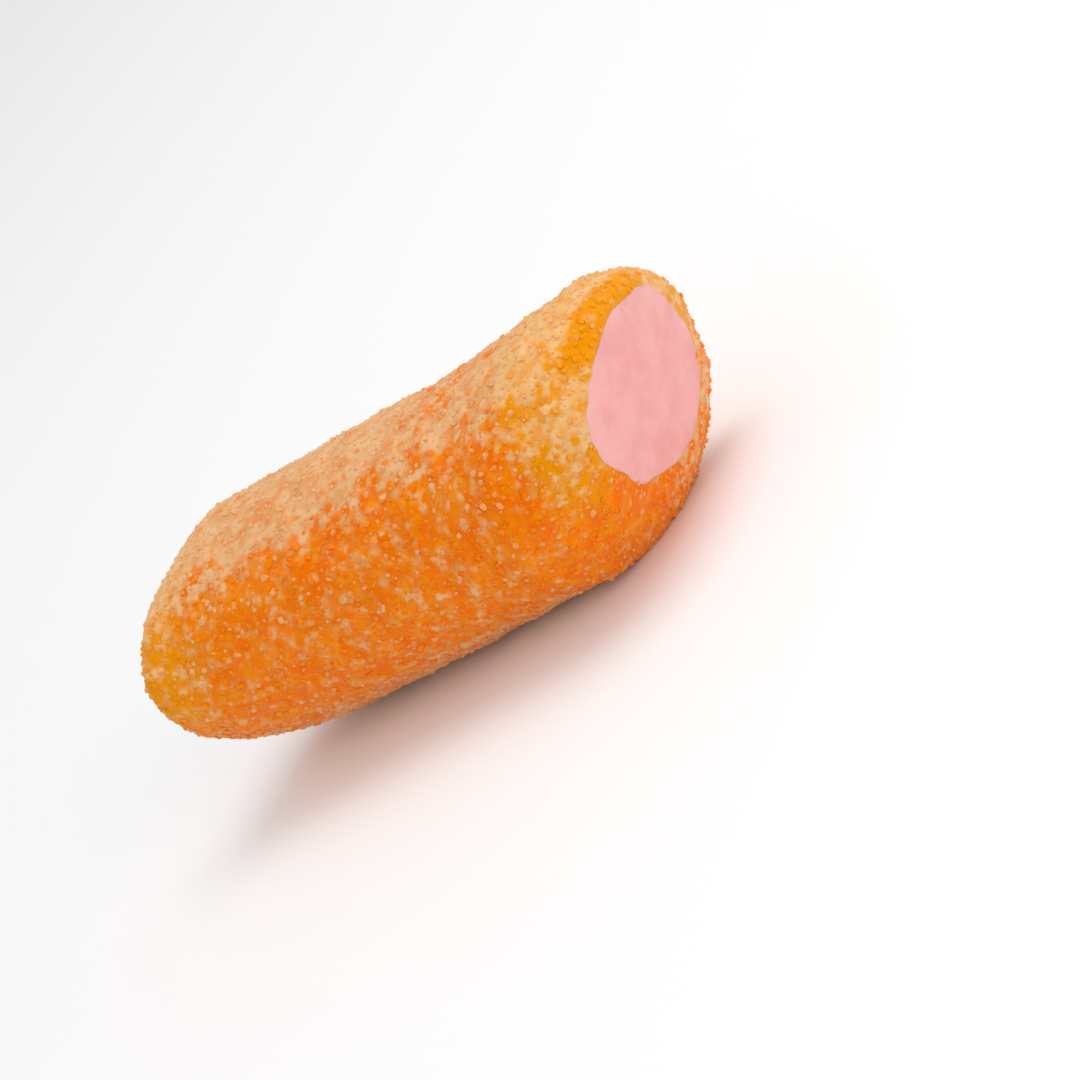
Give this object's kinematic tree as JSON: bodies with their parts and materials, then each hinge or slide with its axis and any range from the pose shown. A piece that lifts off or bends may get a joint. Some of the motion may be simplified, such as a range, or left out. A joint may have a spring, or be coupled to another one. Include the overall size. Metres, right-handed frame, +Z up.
{
  "type": "sour gummy",
  "caption": "Sugar-coated orange gummy tube filled with pink candy cream, slant-cut at both ends so the filling shows, lying on its side.",
  "frame": {"origin": "the floor under the middle of the gummy's box, as it lies on its side", "axes": "+X runs along the gummy, towards the slanted cut end that shows best; +Z is up, away from the narrow flat it rests on"},
  "size_m": [0.0362, 0.0162, 0.0148],
  "materials": {
    "sugared_gummy": "translucent orange jelly under a crust of pale sugar crystals",
    "filling": "soft opaque pink cream, smooth and matte where it is cut"
  },
  "bodies": {
    "root": {"gummy_tube": "sugared_gummy", "pink_filling": "filling"}
  },
  "joints": []
}
